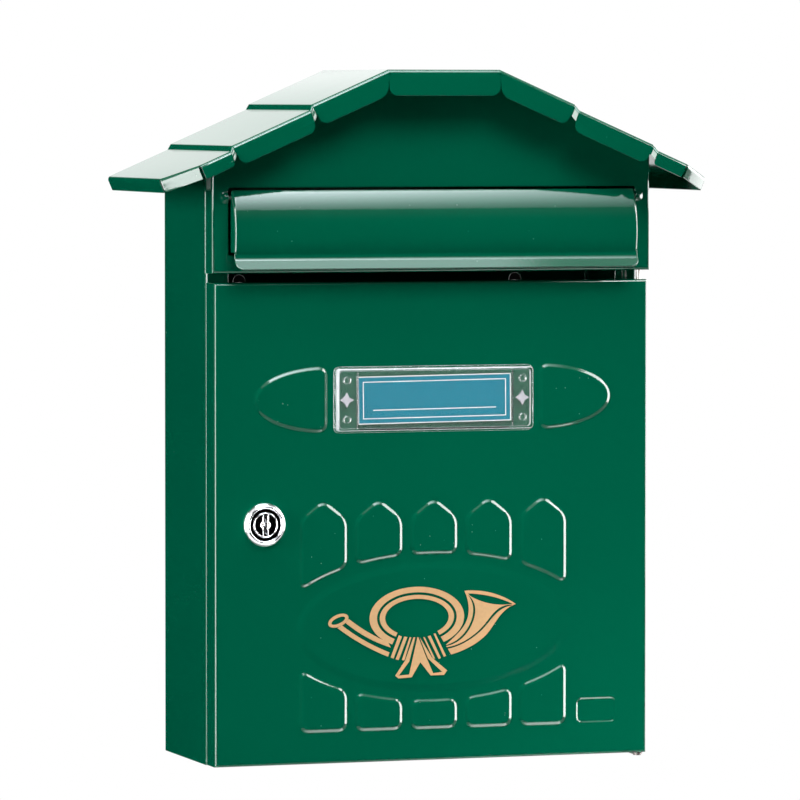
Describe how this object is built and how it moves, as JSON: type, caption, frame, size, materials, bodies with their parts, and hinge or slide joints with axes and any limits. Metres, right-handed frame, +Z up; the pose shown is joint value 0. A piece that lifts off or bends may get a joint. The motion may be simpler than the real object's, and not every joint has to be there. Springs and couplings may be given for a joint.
{
  "type": "wall-mounted mailbox",
  "caption": "Sheet-steel wall mailbox with a stepped house roof, a hinged letter flap over its slot, a pressed front door with a cam lock and a name card holder.",
  "frame": {"origin": "middle of the four wall holes, on the back face that lies on the wall", "axes": "+X to the right seen from the front, +Y into the wall, +Z up"},
  "size_m": [0.29, 0.1069, 0.3494],
  "materials": {
    "green_paint": "gloss",
    "zinc_steel": "zinc plated",
    "chrome": "polished",
    "clear_plastic": "clear",
    "card": "printed",
    "gold_print": "printed foil"
  },
  "bodies": {
    "case": {"body_shell": "green_paint", "floor_tray": "green_paint", "fascia": "green_paint", "roof": "green_paint", "flap_rod": "zinc_steel", "upper_hinge_pin": "zinc_steel", "lower_hinge_pin": "zinc_steel", "lower_hinge_bracket": "green_paint"},
    "door": {"door": "green_paint", "lock_housing": "chrome", "lock_washer": "zinc_steel", "lock_nut": "zinc_steel", "name_base": "clear_plastic", "name_window": "clear_plastic", "name_card": "card", "name_rivet_left": "clear_plastic", "name_rivet_right": "clear_plastic", "horn_emblem": "gold_print"},
    "flap": {"flap": "green_paint"},
    "lock": {"lock_plug": "chrome", "lock_cam": "zinc_steel", "cam_washer": "zinc_steel", "cam_screw": "zinc_steel"}
  },
  "joints": [
    {"name": "door_hinge", "type": "hinge", "parent": "case", "child": "door", "pos_m": [0.1118, -0.0843, -0.1497], "axis": [0, 0, 1], "range_deg": [0, 170]},
    {"name": "flap_hinge", "type": "hinge", "parent": "case", "child": "flap", "pos_m": [0, -0.0889, 0.1343], "axis": [-1, 0, 0], "range_deg": [0, 85]},
    {"name": "lock_turn", "type": "hinge", "parent": "door", "child": "lock", "pos_m": [-0.089, -0.0893, -0.0288], "axis": [0, 1, 0], "range_deg": [0, 90]}
  ]
}
